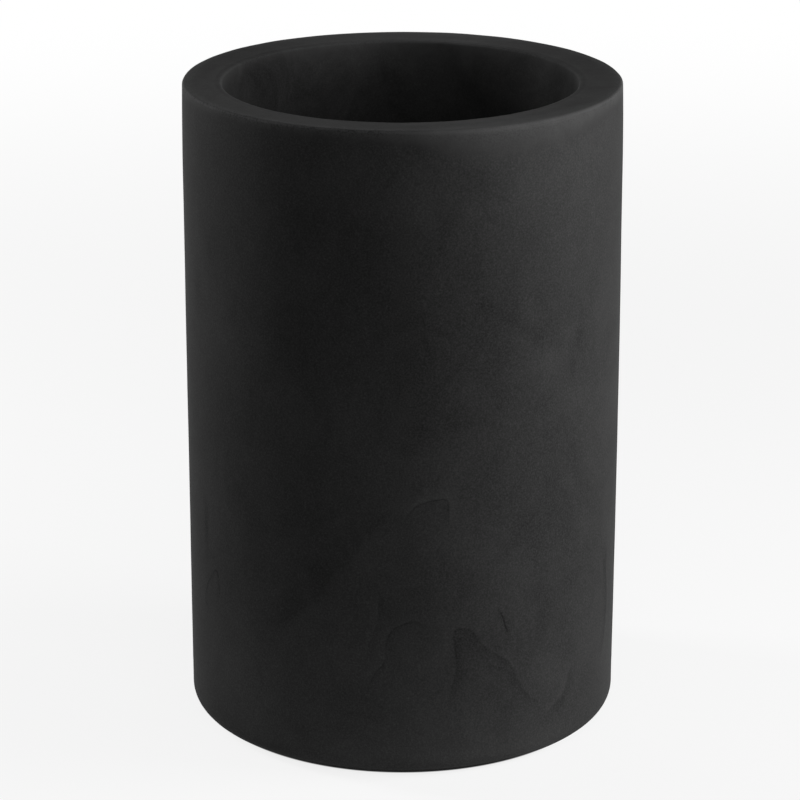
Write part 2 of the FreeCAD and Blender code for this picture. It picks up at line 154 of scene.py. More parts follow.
def charcoalLaminate(name, gloss, grainShare, cloudShare, layers, wornHighlitEdges):
    nodes = newFinish(name)
    place = nodes.place()
    x, y, z = nodes.parts(place)
    cloudTurn = (0, radians(charcoal["cloudTurn"]), 0)
    slanted = nodes.place(cloudTurn, (1, 1, charcoal["cloudStretch"]))
    drift = nodes.cloud(place, *charcoal["drift"]) - 0.5
    clouds = nodes.cloud(slanted, *charcoal["clouds"]) - 0.5
    grain = nodes.cloud(place, *charcoal["grain"]) - 0.5
    grain = grain * (1 + grain)  # pale specks stand out more than dark ones
    wander = nodes.cloud(place, *charcoal["wander"]) - 0.5
    breaks = nodes.cloud(place, *charcoal["breaks"])
    broken = breaks.step(charcoal["breakFrom"], charcoal["breakTo"], charcoal["faintest"], 1)
    share = charcoal["middle"] + drift * charcoal["driftShare"] + clouds * cloudShare
    # painted contact shadow: the foot is painted dark where the planter meets the floor
    contactShade = z.step(charcoal["contactShadeFull"], charcoal["contactShadeTop"], charcoal["footContactShade"], 0)
    share = share + nodes.stored("patches") - contactShade
    ridge = 0.0
    for layer in range(layers):
        gap, darkness, soft = nodes.parts(nodes.stored(f"frontLine{layer}", "Vector"))
        above, below = nodes.parts(nodes.stored(f"frontTone{layer}", "Vector"))[:2]
        gap = gap + wander * charcoal["lineWander"]
        line = gap.band(charcoal["lineWidth"]) * darkness * broken
        share = share + gap.step(-soft, soft, below, above) - line * charcoal["lineShare"]
        ridge = ridge + line
    # the rounded rim edges are painted paler: partly real rubbed wear, partly painted highlight standing in
    # for light caught on the rounds
    wearAndHighlight = 0.0
    reach = (nodes.stored("wear") + wander * charcoal["wearHighlightWander"]).atLeast(charcoal["leastHighlightReach"])
    reach = reach * charcoal["wearHighlightWidth"]
    for edgeRadius, edgeHeight, edgeAside, amount, paintedShadeBeside in wornHighlitEdges:
        across = x - edgeAside
        radius = (across * across + y * y) ** 0.5
        off = ((radius - edgeRadius) ** 2 + (z - edgeHeight) ** 2) ** 0.5
        for ragged, width, paleness in (charcoal["wearHighlightLine"], charcoal["wearHighlightHalo"]):
            wearAndHighlight = wearAndHighlight + (off + grain * ragged).step(0, reach * width, amount * paleness, 0)
        # painted shade: a darker strip on the brim beside the raised lip
        strip = (radius - edgeRadius - charcoal["shadeStripPlace"]).band(charcoal["shadeStripWidth"])
        share = share - strip * z.step(edgeHeight - charcoal["shadeStripDepth"], edgeHeight) * paintedShadeBeside
    share = share + grain * grainShare * (1 + wearAndHighlight * charcoal["wearHighlightGrain"]) + wearAndHighlight
    share = share.atLeast(0).atMost(charcoal["palest"])
    colour = nodes.blend(grey(charcoal["dark"]), grey(charcoal["light"]), share)
    roughness = clouds * charcoal["cloudRoughness"] + grain * charcoal["grainRoughness"]
    peel = nodes.cloud(place, *charcoal["peel"])
    relief = grain * charcoal["grainRelief"] + peel * charcoal["peelRelief"] - ridge * charcoal["lineRelief"]
    normal = nodes.relief(relief, charcoal["depth"], charcoal["strength"])
    return nodes.finish(BaseColor=colour, Roughness=charcoal["roughness"] + roughness, Normal=normal,
                        SpecularIORLevel=gloss)


bare = {
    "resin": (0.030, 0.030, 0.030, 1), "strand": (0.115, 0.112, 0.092, 1),
    "strandSize": 30 * mm, "strandStretch": 16, "strandTurn": 30, "strandFrom": 0.56, "strandTo": 0.66,
    "poolSize": 45 * mm, "poolFrom": 0.3, "poolTo": 0.7,
    "strandShare": 0.28, "poolShare": 0.35,
    "roughness": 0.34, "poolRoughness": 0.3, "coat": 0.25, "coatRoughness": 0.25,
    "strandRelief": 0.4, "depth": 0.9 * mm, "strength": 0.8,
}


def bareLaminate():  # chopped strands at all angles under resin
    nodes = newFinish("bareLaminate")
    strands = 0.0
    for turn in range(0, 180, bare["strandTurn"]):
        along = nodes.place(turn=(0, 0, radians(turn)), stretch=(1, bare["strandStretch"], 1))
        streaks = nodes.cloud(along, bare["strandSize"], 1, 0.5, 0.3)
        strands = strands + streaks.step(bare["strandFrom"], bare["strandTo"])
    pools = nodes.cloud(nodes.place(), bare["poolSize"], 3, 0.5)
    pooled = pools.step(bare["poolFrom"], bare["poolTo"]) * bare["poolShare"]
    share = (strands * bare["strandShare"] + pooled).atMost(1)
    colour = nodes.blend(bare["resin"], bare["strand"], share)
    normal = nodes.relief(strands * bare["strandRelief"] + pools, bare["depth"], bare["strength"])
    return nodes.finish(BaseColor=colour, Roughness=bare["roughness"] + pools * bare["poolRoughness"],
                        Normal=normal, CoatWeight=bare["coat"], CoatRoughness=bare["coatRoughness"])


wood = {
    "pale": (0.52, 0.37, 0.21, 1), "dark": (0.30, 0.18, 0.085, 1),
    "grainSize": 60 * mm, "grainStretch": 14, "grainFrom": 0.3, "grainTo": 0.7, "grainShare": 0.6,
    "poreSize": 20 * mm, "poreStretch": 30, "poreFrom": 0.55, "poreTo": 0.7, "poreShare": 0.3,
    "ply": 2.25 * mm, "plyFrom": 0.85, "plyShare": 0.15,  # eight plies in 18 mm, every other one end grain
    "roughness": 0.62, "grainRoughness": 0.15, "poreRelief": 0.5, "depth": 0.3 * mm,
}


def plywood():
    nodes = newFinish("plywood")
    height = nodes.parts(nodes.place())[2]
    along, finer = wood["grainStretch"], wood["poreStretch"]
    grain = nodes.cloud(nodes.place(stretch=(1, along, along)), wood["grainSize"], 4, 0.6, 0.5)
    pores = nodes.cloud(nodes.place(stretch=(1, finer, finer)), wood["poreSize"], 2, 0.6)
    pores = pores.step(wood["poreFrom"], wood["poreTo"])
    plies = ((height / wood["ply"]) % 2).step(wood["plyFrom"], 1.0)
    share = grain.step(wood["grainFrom"], wood["grainTo"]) * wood["grainShare"]
    share = share + pores * wood["poreShare"] + plies * wood["plyShare"]
    colour = nodes.blend(wood["pale"], wood["dark"], share.atMost(1))
    normal = nodes.relief(grain - pores * wood["poreRelief"], wood["depth"])
    return nodes.finish(BaseColor=colour, Roughness=wood["roughness"] + grain * wood["grainRoughness"],
                        Normal=normal)


plastic = {
    "sparkSize": 0.5 * mm, "driftSize": 25 * mm, "darker": 0.8, "paler": 1.25,
    "scuffTurn": (0.4, 0.2, 0.9), "scuffSize": 12 * mm, "scuffStretch": 9, "scuffFrom": 0.60,
    "scuffTo": 0.72, "scuffPaler": 2, "scuffShare": 0.35,
    "roughness": 0.42, "sparkRoughness": 0.12, "scuffRoughness": 0.12,
    "depth": 0.08 * mm, "strength": 0.6,
}


def mouldedPlastic(name, level, warmth=0.0):
    nodes = newFinish(name)
    place = nodes.place()
    spark = nodes.cloud(place, plastic["sparkSize"], 2, 0.6)
    drift = nodes.cloud(place, plastic["driftSize"], 3, 0.5)
    darker, paler = grey(level * plastic["darker"], warmth), grey(level * plastic["paler"], warmth)
    colour = nodes.blend(darker, paler, drift)
    along = nodes.place(plastic["scuffTurn"], (1, plastic["scuffStretch"], plastic["scuffStretch"]))
    scuffs = nodes.cloud(along, plastic["scuffSize"], 4, 0.65)
    scuffs = scuffs.step(plastic["scuffFrom"], plastic["scuffTo"])
    scuffed = grey(level * plastic["scuffPaler"] + 0.02, warmth)
    colour = nodes.blend(colour, scuffed, scuffs * plastic["scuffShare"])
    roughness = plastic["roughness"] + spark * plastic["sparkRoughness"] + scuffs * plastic["scuffRoughness"]
    normal = nodes.relief(spark, plastic["depth"], plastic["strength"])
    return nodes.finish(BaseColor=colour, Roughness=roughness, Normal=normal)


steel = {
    "clean": (0.62, 0.62, 0.62, 1), "stained": (0.42, 0.40, 0.37, 1),
    "brushSize": 8 * mm, "brushStretch": 40, "brushTurn": 0.5, "brushShare": 0.2,
    "stainSize": 6 * mm, "stainFrom": 0.55, "stainTo": 0.75, "stainShare": 0.6,
    "roughness": 0.24, "brushRoughness": 0.18, "stainRoughness": 0.2,
    "depth": 0.04 * mm, "strength": 0.5,
}


def strainerSteel():
    nodes = newFinish("strainerSteel")
    along = nodes.place(turn=(0, 0, steel["brushTurn"]), stretch=(1, steel["brushStretch"], 1))
    brushed = nodes.cloud(along, steel["brushSize"], 3, 0.6)
    stains = nodes.cloud(nodes.place(), steel["stainSize"], 3, 0.6)
    stains = stains.step(steel["stainFrom"], steel["stainTo"])
    share = stains * steel["stainShare"] + brushed * steel["brushShare"]
    colour = nodes.blend(steel["clean"], steel["stained"], share)
    roughness = steel["roughness"] + brushed * steel["brushRoughness"] + stains * steel["stainRoughness"]
    normal = nodes.relief(brushed, steel["depth"], steel["strength"])
    return nodes.finish(BaseColor=colour, Metallic=1.0, Roughness=roughness, Normal=normal)


bloomy = {
    "bloomSize": 14 * mm, "bloomFrom": 0.35, "bloomTo": 0.75, "toothSize": 0.4 * mm,
    "darker": 0.75, "paler": 1.8,
    "roughness": 0.72, "bloomRoughness": 0.16, "gloss": 0.35, "depth": 0.06 * mm, "strength": 0.6,
}


def rubber(name, level):
    nodes = newFinish(name)
    place = nodes.place()
    bloom = nodes.cloud(place, bloomy["bloomSize"], 4, 0.6)
    tooth = nodes.cloud(place, bloomy["toothSize"], 2, 0.6)
    bloomed = grey(level * bloomy["paler"] + 0.006)
    share = bloom.step(bloomy["bloomFrom"], bloomy["bloomTo"])
    colour = nodes.blend(grey(level * bloomy["darker"]), bloomed, share)
    roughness = bloomy["roughness"] + bloom * bloomy["bloomRoughness"]
    normal = nodes.relief(tooth, bloomy["depth"], bloomy["strength"])
    return nodes.finish(BaseColor=colour, Roughness=roughness, Normal=normal,
                        SpecularIORLevel=bloomy["gloss"])


def deselect():
    if bpy.context.object and bpy.context.object.mode != "OBJECT":
        bpy.ops.object.mode_set(mode="OBJECT")
    bpy.ops.object.select_all(action="DESELECT")


def arc(across, up, radius, start, end, count):  # points of a round corner, angles in degrees
    angles = [radians(start + (end - start) * i / count) for i in range(count + 1)]
    return [(across + radius * cos(angle), up + radius * sin(angle)) for angle in angles]


def run(start, end, spacing):  # points of a straight run, without its last one
    length = Vector(end) - Vector(start)
    count = max(1, round(length.length / spacing))
    return [tuple(Vector(start) + length * (i / count)) for i in range(count)]


def turnedPiece(name, profile, segments):  # a section of radii and heights, spun round the axis
    deselect()
    bpy.ops.mesh.primitive_plane_add(size=mm)
    piece = bpy.context.object
    piece.name = piece.data.name = name
    bpy.ops.object.mode_set(mode="EDIT")
    bpy.ops.mesh.merge(type="CENTER")
    bpy.ops.transform.translate(value=(profile[0][0], 0, profile[0][1]))
    ends = profile[1:]
    if profile[0][0] > 0:  # a section that starts on the axis stays open
        ends = ends + profile[:1]
    for here, there in zip(profile, ends):
        step = (there[0] - here[0], 0, there[1] - here[1])
        bpy.ops.mesh.extrude_vertices_move(TRANSFORM_OT_translate={"value": step})
    bpy.ops.mesh.select_all(action="SELECT")
    bpy.ops.mesh.spin(steps=segments, angle=2 * pi, center=(0, 0, 0), axis=(0, 0, 1))
    bpy.ops.mesh.select_all(action="SELECT")
    bpy.ops.mesh.remove_doubles(threshold=0.01 * mm)
    bpy.ops.mesh.normals_make_consistent(inside=False)
    bpy.ops.object.mode_set(mode="OBJECT")
    bpy.ops.object.shade_smooth_by_angle(angle=radians(form["smoothAngle"]))
    return piece


def placesOf(piece):
    places = np.empty(len(piece.data.vertices) * 3)
    piece.data.vertices.foreach_get("co", places)
    return places.reshape(-1, 3)


def movePlaces(piece, places):
    piece.data.vertices.foreach_set("co", places.ravel())
    piece.data.update()


def paint(piece, material):
    piece.data.materials.clear()
    piece.data.materials.append(material)


def settle(piece, body, slot, material, *nodes):  # a finished piece takes its finish, body and node
    paint(piece, material)
    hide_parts(*nodes)
    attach(piece, body)
    print(piece.name, len(piece.data.polygons), "faces")
    return piece


shellLow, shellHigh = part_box("outer_shell")
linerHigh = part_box("liner_shell")[1]
form = {
    "segments": 352,
    "ringSpacing": 5.2 * mm, "lipSpacing": 4.5 * mm, "wellSpacing": 9 * mm, "hiddenSpacing": 60 * mm,
    "radius": shellHigh.x,
    "foot": shellLow.z,
    "seam": shellHigh.z,
    "rimTop": linerHigh.z,
    "wall": 4 * mm, "footRound": 20 * mm, "footRingInner": 178 * mm,
    "rimWidth": 49 * mm, "rimEdgeRound": 4 * mm, "lipRound": 3 * mm,
    "linerWall": 3.5 * mm, "underBrimRound": 6 * mm, "cornerRound": 20 * mm,
    "plantingFloor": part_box("floor_core")[1].z + 3.5 * mm,
    "sumpMouth": 52 * mm, "sumpFloor": 46 * mm, "sumpLevel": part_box("drain_gasket")[0].z,
    "drainHole": 19.5 * mm, "stemHole": 4.2 * mm,
    "smoothAngle": 40,
}
laying = {  # where the hand-laid walls stray from true
    "longWave": 0.35 * mm, "longSpread": 5.5,
    "shortWave": 0.12 * mm, "shortSpread": 21,
    "edgeVariation": 0.22, "edgeSpread": 6.6,  # of the hand-rubbed rim edges
    "nick": 0.35 * mm, "nickSpread": 51, "nickFrom": 0.28,
    "swell": 1.5 * mm,  # of one side, halfway up
    "neck": 1.2 * mm, "neckHeight": 110 * mm,  # how the wall draws in towards the rim
    "wellAside": -2.5 * mm,
    "brimDip": 1.8 * mm, "dipHeight": 40 * mm,
    "flatShare": 0.7,  # of the waves, on the brim and the floor
    "trueMiddle": 60 * mm,  # radius round the drain that stays true
}


def waves(place):  # how far the hand-laid surface stands off its true place
    spot = Vector(place)
    swell = laying["swell"] * max(0, spot.x / form["radius"]) ** 2 * sin(pi * spot.z / form["rimTop"])
    long = laying["longWave"] * noise.noise(spot * laying["longSpread"])
    return swell + long + laying["shortWave"] * noise.noise(spot * laying["shortSpread"])


def layUp(piece):  # gives a turned shell its slight unevenness and its rubbed rim edges
    places = placesOf(piece)
    rimTop, floor = form["rimTop"], form["plantingFloor"]
    edges = [(form["radius"], form["rimEdgeRound"]), (form["radius"] - form["rimWidth"], form["lipRound"])]
    for i, (x, y, z) in enumerate(places):
        radius = np.hypot(x, y)
        if radius < laying["trueMiddle"]:
            continue
        outX, outY = x / radius, y / radius
        for edgeRadius, edgeRound in edges:
            across, up = radius - edgeRadius, z - rimTop
            if abs(across) < edgeRound * 1.01 and -edgeRound * 1.01 < up <= 0:
                spot = Vector((outX, outY, edgeRadius))
                scale = 1 + laying["edgeVariation"] * noise.noise(spot * laying["edgeSpread"])
                nick = max(0, noise.noise(spot * laying["nickSpread"]) - laying["nickFrom"]) * laying["nick"]
                deep = 1 - (max(abs(across), abs(up)) / edgeRound) ** 2  # 1 in the middle of the round
                radius = edgeRadius + across * scale
                z = rimTop + up * scale - nick * max(0, deep)
        push = waves((x, y, z))
        if z > rimTop - 0.5 * mm or z < floor + 0.5 * mm:
            z += push * laying["flatShare"]
        else:
            radius += push
        inward = np.clip((form["radius"] - radius) / form["rimWidth"], 0, 1)
        height = np.clip((z - floor) / (rimTop - floor), 0, 1)
        dip = laying["brimDip"] * inward * np.clip(1 - (rimTop - z) / laying["dipHeight"], 0, 1)
        nearRim = np.clip(1 - (rimTop - z) / laying["neckHeight"], 0, 1)
        radius -= laying["neck"] * (1 - inward) * nearRim ** 2
        places[i] = (outX * radius + laying["wellAside"] * inward * height, outY * radius, z - dip)
    movePlaces(piece, places)


frontLayers = 3  # a point takes the nearest front of each layer
pourFronts = {  # where pours met: layer, darkness, tones above and below it, softness and reach in mm, places
    "ridge": (0, 1.1, 0.13, -0.05, 1, 13, [  # degrees round from the front and mm up
        (0.7, 320), (2.7, 329), (4.5, 337), (7.0, 340), (9.5, 341), (11.1, 341), (11.7, 334), (11.7, 322),
        (12.0, 310), (12.9, 305)]),
    "slope": (1, 0.0, -0.06, 0.06, 7, 60, [
        (-36.7, 159), (-31.9, 175), (-27.3, 193), (-23.0, 210), (-21.0, 222), (-18.2, 241), (-14.7, 258),
        (-11.6, 278), (-8.2, 299), (-3.6, 313), (0.5, 322)]),
    "hem": (2, 0.3, -0.06, 0.06, 2, 12, [(-5.9, 231), (-5.8, 215), (-6.5, 194), (-8.0, 172), (-9.3, 153)]),
    "shoulder": (0, 0.9, 0.08, -0.03, 1, 12, [
        (-9.4, 110), (-8.3, 120), (-7.0, 132), (-4.9, 143), (-4.3, 158), (-4.2, 167), (-3.7, 176),
        (-2.4, 185), (-0.6, 190), (2.0, 195), (5.8, 194)]),
    "arch": (2, 0.5, 0.05, -0.10, 2, 13, [
        (11.6, 87), (12.6, 106), (13.9, 127), (14.1, 148), (13.4, 164), (13.1, 178), (14.9, 183), (17.6, 179),
        (19.8, 170), (21.5, 158), (23.8, 149), (26.1, 142), (28.5, 134), (30.0, 123), (31.6, 106), (33.5, 92),
        (36.2, 79), (41.1, 64)]),
    "streak": (0, 0.0, 0.14, -0.10, 3, 16, [
        (40.5, 52), (42.9, 60), (46, 68), (48.4, 80), (49.4, 92), (51.5, 104)]),
    "stroke": (0, 1.2, -0.08, -0.08, 1, 6, [(25.4, 202), (26.5, 191), (27.5, 179), (28.5, 169)]),
    "branch": (1, 0.5, 0.0, -0.08, 2, 8, [(23.2, 135), (25.2, 129), (27.9, 126)]),
    "loop": (0, 1.0, 0.0, -0.10, 1, 9, [
        (-62.7, 151), (-65.4, 162), (-64.5, 178), (-61.6, 198), (-58.6, 210), (-57.1, 200), (-57.0, 181),
        (-59.0, 164)]),
    "curl": (2, 0.5, 0.0, -0.06, 1, 9, [(-16.3, 75), (-12.3, 81), (-8.3, 80), (-6.0, 76), (-4.2, 79)]),
    "scratch": (1, -0.3, 0.05, 0.05, 1, 5, [(-16.2, 684), (-17.8, 674), (-20.2, 661)]),
    "edging": (2, 0.4, 0.08, -0.18, 2, 16, [(71.7, 221), (70.1, 198), (71.8, 151), (69.7, 104), (67.4, 82)]),
    "fold": (0, 1.0, 0.12, -0.05, 1, 13, [
        (88, 118), (94, 140), (97, 168), (104, 186), (113, 189), (118, 180), (120, 158), (127, 150)]),
    "drift": (1, 0.3, 0.07, -0.09, 4, 26, [
        (126, 236), (133, 252), (141, 281), (149, 300), (158, 304), (163, 296), (165, 274)]),
    "runnel": (2, 0.8, 0.05, -0.07, 1, 10, [
        (150, 70), (152, 101), (149, 128), (153, 152), (161, 160), (168, 148)]),
    "sweep": (1, 0.0, -0.08, 0.06, 8, 38, [(176, 392), (187, 420), (200, 452), (214, 470), (229, 476)]),
    "hook": (0, 1.0, 0.10, -0.05, 1, 12, [
        (186, 150), (192, 176), (200, 196), (209, 202), (214, 192), (213, 172)]),
    "vein": (2, 0.4, -0.05, 0.08, 2, 18, [
        (219, 92), (224, 120), (233, 141), (246, 154), (257, 149), (266, 128)]),
    "cusp": (0, 0.9, 0.12, -0.05, 1, 13, [
        (238, 268), (247, 283), (256, 303), (264, 309), (267, 302), (268, 281)]),
}


def smoothLine(points, steps=8):  # a curve through given points
    ends = [points[0], *points, points[-1]]
    line = []
    for a, b, c, d in zip(ends, ends[1:], ends[2:], ends[3:]):
        for i in range(steps):
            t = i / steps
            line.append(tuple(0.5 * (2 * q + (r - p) * t + (2 * p - 5 * q + 4 * r - s) * t * t
                                     + (3 * q - p - 3 * r + s) * t ** 3)
                              for p, q, r, s in zip(a, b, c, d)))
    return np.array(line + [tuple(points[-1])])


def nearestOn(line, spots):  # signed distance to a line and the share of its length gone there
    lengths = np.hypot(*(line[1:] - line[:-1]).T)
    gone = 0.0
    gaps, shares = np.full(len(spots), np.inf), np.zeros(len(spots))
    for start, end, length in zip(line, line[1:], lengths):
        along = (end - start) / length
        offset = spots - start
        t = np.clip(offset @ along, 0, length)
        gap = np.hypot(*(offset - t[:, None] * along).T)
        side = np.where(along[0] * offset[:, 1] < along[1] * offset[:, 0], -1, 1)
        closer = gap < abs(gaps)
        gaps[closer] = (gap * side)[closer]
        shares[closer] = ((gone + t) / lengths.sum())[closer]
        gone += length
    return gaps, shares


def store(piece, name, values):
    kind = "FLOAT_VECTOR" if values.ndim > 1 else "FLOAT"
    attribute = piece.data.attributes.new(name, kind, "POINT")
    attribute.data.foreach_set("vector" if values.ndim > 1 else "value", values.astype(np.float32).ravel())


marking = {
    "far": 30 * mm, "soft": 2 * mm,  # for points with no front near
    "margin": 100 * mm,  # how far round a front its points are looked for
    "fade": 7,  # a front fades in and out over the seventh part of its length
    "inkReach": 16 * mm,
}


def markFronts(piece):  # stores, layer by layer, how far each point is from its front, and the tones there
    places = placesOf(piece)
    lines = np.tile([marking["far"], 0, marking["soft"]], (frontLayers, len(places), 1))
    tones = np.zeros((frontLayers, len(places), 3))
    for layer, darkness, above, below, soft, reach, points in pourFronts.values():
        line = smoothLine(points)
        middle = radians(line[:, 0].mean())
        line = np.column_stack(((np.radians(line[:, 0]) - middle) * form["radius"], line[:, 1] * mm))
        turn = (np.arctan2(places[:, 0], -places[:, 1]) - middle + pi) % (2 * pi) - pi
        spots = np.column_stack((turn * form["radius"], places[:, 2]))
        low, high = line.min(0) - marking["margin"], line.max(0) + marking["margin"]
        near = np.flatnonzero(((spots > low) & (spots < high)).all(1))
        gaps, shares = nearestOn(line, spots[near])
        closer = abs(gaps) < abs(lines[layer, near, 0])
        near, gaps = near[closer], gaps[closer]
        fade = np.clip(np.minimum(shares, 1 - shares)[closer] * marking["fade"], 0, 1)
        tone = fade * np.clip(1 - abs(gaps) / (reach * mm), 0, 1)
        inked = fade * (abs(gaps) < marking["inkReach"]) * darkness
        lines[layer, near] = np.column_stack((gaps, inked, np.full(len(gaps), soft * mm)))
        tones[layer, near] = np.column_stack((tone * above, tone * below, tone * 0))
    for layer in range(frontLayers):
        store(piece, f"frontLine{layer}", lines[layer])
        store(piece, f"frontTone{layer}", tones[layer])


wallPatches = [  # degrees round, mm up, half width and half height in mm, tone; mostly the laminate's own mottling and flow marks, but the wide paler bands low round the foot are painted light
    (41, 484, 24, 19, 0.13), (46, 513, 12, 12, 0.08),
    (20, 569, 9, 6, -0.08), (22, 561, 9, 6, -0.08), (24.5, 553, 9, 6, -0.08), (27, 546, 9, 6, -0.08),
    (29.5, 539, 9, 6, -0.08), (32, 531, 9, 6, -0.08), (34.5, 524, 9, 6, -0.07), (37, 516, 9, 6, -0.05),
    (51, 500, 8, 14, -0.10), (49, 476, 8, 14, -0.08),
    (4, 248, 22, 60, -0.06), (17, 165, 12, 16, -0.08), (14, 135, 9, 30, -0.07),
    (-30, 205, 14, 16, -0.08), (-22, 248, 16, 20, -0.05), (-30, 300, 80, 90, -0.05),
    (42, 114, 26, 32, 0.07), (-19, 155, 40, 36, 0.06), (-27, 49, 22, 14, -0.10),
    (-13, 652, 8, 14, -0.10), (-9, 640, 40, 45, -0.09), (-25, 655, 34, 40, -0.06),
    (-59, 591, 8, 14, -0.10), (-67, 540, 12, 30, -0.10), (-64, 255, 6, 34, -0.20),
    (-14, 451, 22, 26, 0.06), (-1, 332, 24, 10, 0.06), (0, 399, 14, 11, -0.07), (-11, 522, 26, 30, 0.04),
    (14, 600, 42, 60, -0.08), (22, 505, 26, 55, -0.10), (4, 425, 22, 26, -0.10), (-38, 395, 38, 40, -0.10),
    (15, 205, 32, 50, -0.10), (48, 610, 45, 70, 0.08), (-30, 120, 110, 90, 0.07), (25, 6, 170, 34, 0.22),
    (0, 530, 140, 110, -0.07), (-12, 160, 55, 60, 0.08), (-55, 120, 60, 60, 0.09), (-15, 28, 120, 36, 0.14),
    (22, 225, 18, 24, -0.06),
    # painted light: wide paler bands low round the foot
    (-30, 50, 260, 70, 0.10), (180, 50, 420, 70, 0.08),
    # partly painted light, partly paler laminate: the paler places high on the right under the rim
    (35, 700, 60, 34, 0.06), (48, 728, 80, 48, 0.20), (24, 730, 40, 14, 0.08),
    (96, 520, 40, 26, -0.10), (112, 300, 60, 70, 0.07), (140, 600, 70, 50, -0.08), (163, 455, 30, 20, 0.12),
    (180, 250, 60, 60, -0.06), (197, 610, 40, 60, 0.07), (222, 330, 30, 50, -0.09), (245, 540, 60, 34, 0.08),
    (262, 660, 40, 26, -0.10), (170, 90, 120, 40, 0.06), (240, 80, 90, 36, 0.06),
]
brimPatches = [  # the same on the brim and the inner wall; partly the laminate's own mottling, partly painted light and painted shade copying a lamp's lit patch and the rim's shadow edge inside the well
    (140, 700, 60, 50, 0.10), (128, 735, 26, 20, 0.08), (168, 690, 30, 60, 0.06), (196, 715, 50, 30, -0.06),
    (245, 700, 130, 120, -0.10), (160, 700, 50, 120, 0.16), (182, 756, 150, 30, 0.28),
    (158, 740, 12, 14, 0.12), (151, 722, 14, 18, 0.14), (146, 700, 16, 24, 0.12),
    (110, 705, 60, 75, -0.20), (228, 742, 60, 34, -0.06), (172, 600, 200, 70, -0.2),
    (20, 640, 60, 60, -0.06), (300, 620, 60, 60, 0.06), (80, 560, 60, 80, -0.06),
]
leastEdgeWearHighlight = 0.28  # how worn and how much painted highlight the edges carry everywhere
edgeWearHighlightPlaces = [  # where they are more worn and carry more painted highlight: degrees round, half width in degrees, amount
    (8, 15, 0.25), (22, 15, 0.75), (43, 18, 0.70), (70, 20, 0.15), (-35, 12, 0.12), (-62, 8, 0.18),
    (110, 18, 0.35), (165, 20, 0.55), (215, 14, 0.30), (262, 18, 0.40),
]


def markPatches(piece, patches):  # stores soft paler and darker places, some of them painted light and shade, and how worn and painted-highlit the edges are
    places = placesOf(piece)
    turn = np.arctan2(places[:, 0], -places[:, 1])
    tone, wear = np.zeros(len(places)), np.full(len(places), leastEdgeWearHighlight)
    for degreesRound, height, halfWidth, halfHeight, amount in patches:
        off = (turn - radians(degreesRound) + pi) % (2 * pi) - pi
        across, up = off * form["radius"] / (halfWidth * mm), (places[:, 2] - height * mm) / (halfHeight * mm)
        tone += amount * np.exp(-across ** 2 - up ** 2)
    for degreesRound, halfWidth, amount in edgeWearHighlightPlaces:
        off = (turn - radians(degreesRound) + pi) % (2 * pi) - pi
        wear += amount * np.exp(-(off / radians(halfWidth)) ** 2)
    store(piece, "patches", tone)
    store(piece, "wear", wear)


def drillStemHoles(piece):  # for the stems of the foot pads
    for number in range(4):
        low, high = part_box(f"foot_pad_{number + 1}")
        deselect()
        middle = ((low.x + high.x) / 2, (low.y + high.y) / 2, form["foot"])
        bpy.ops.mesh.primitive_cylinder_add(vertices=40, radius=form["stemHole"], depth=4 * form["wall"],
                                            location=middle)
        drill = bpy.context.object
        deselect()
        piece.select_set(True)
        bpy.context.view_layer.objects.active = piece
        cut = piece.modifiers.new("stemHole", "BOOLEAN")
        cut.operation, cut.object, cut.solver = "DIFFERENCE", drill, "EXACT"
        bpy.ops.object.modifier_apply(modifier=cut.name)
        bpy.data.objects.remove(drill)
    bpy.ops.object.shade_smooth_by_angle(angle=radians(form["smoothAngle"]))


def makeOuterShell():
    radius, foot, top = form["radius"], form["foot"], form["seam"]
    wall, footRound, ringInner = form["wall"], form["footRound"], form["footRingInner"]
    inside = radius - wall
    bend = radius - footRound  # where the wall starts to turn in
    profile = run((ringInner, foot), (bend, foot), 7 * mm)
    profile += arc(bend, foot + footRound, footRound, -90, 0, 10)[:-1]
    profile += run((radius, foot + footRound), (radius, top), form["ringSpacing"])
    profile += [(radius, top)] + run((inside, top), (inside, foot + footRound), form["hiddenSpacing"])
    profile += arc(bend, foot + footRound, footRound - wall, 0, -90, 5)
    profile += run((bend - 5 * mm, foot + wall), (ringInner, foot + wall), 20 * mm)
    profile += [(ringInner, foot + wall)]
    piece = turnedPiece("outerShell", profile, form["segments"])
    drillStemHoles(piece)
    layUp(piece)
    markFronts(piece)
    markPatches(piece, wallPatches)
    return piece


